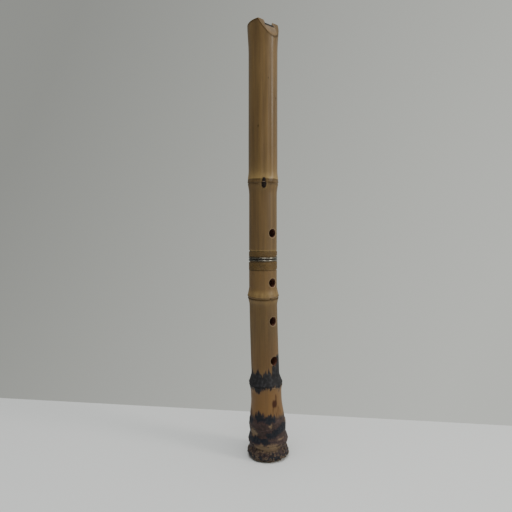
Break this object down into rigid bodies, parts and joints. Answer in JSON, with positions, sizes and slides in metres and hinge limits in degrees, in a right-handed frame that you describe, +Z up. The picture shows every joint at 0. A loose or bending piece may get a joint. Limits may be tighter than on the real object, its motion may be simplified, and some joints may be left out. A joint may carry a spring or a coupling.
{
  "type": "shakuhachi",
  "caption": "End-blown bamboo flute with a root-end foot, in two sections joined by a tenon, with silver rings and rattan bindings at the joint and a horn blowing edge",
  "frame": {"origin": "centre of the bore at the flat foot of the root end, which is the plane the flute stands on", "axes": "+Z runs up the culm to the mouth, -Y is the front with the finger holes and the blowing edge, +Y is the back with the thumb hole, +X is the player's left"},
  "size_m": [0.0532, 0.0535, 0.5496],
  "materials": {
    "bamboo": "satin",
    "tenon_bamboo": "lacquered, satin",
    "sleeve_bamboo": "satin",
    "rattan": "satin",
    "silver": "polished",
    "lacquer": "gloss",
    "horn": "polished"
  },
  "bodies": {
    "lower_section": {"lower_culm": "bamboo", "lower_bore_lining": "lacquer", "socket_sleeve": "sleeve_bamboo", "lower_rattan_binding": "rattan"},
    "joint_ring": {"lower_joint_ring": "silver"},
    "upper_section": {"upper_culm": "bamboo", "upper_bore_lining": "lacquer", "joint_tenon": "tenon_bamboo", "upper_joint_ring": "silver", "upper_rattan_binding": "rattan", "blowing_edge_inlay": "horn"}
  },
  "joints": [
    {"name": "twist", "type": "hinge", "parent": "lower_section", "child": "joint_ring", "pos_m": [-0.00243, 0.00667, 0.2485], "axis": [0, 0, 1], "continuous": true},
    {"name": "pull", "type": "slide", "parent": "joint_ring", "child": "upper_section", "axis": [0, 0, 1], "range_m": [0, 0.021]}
  ]
}
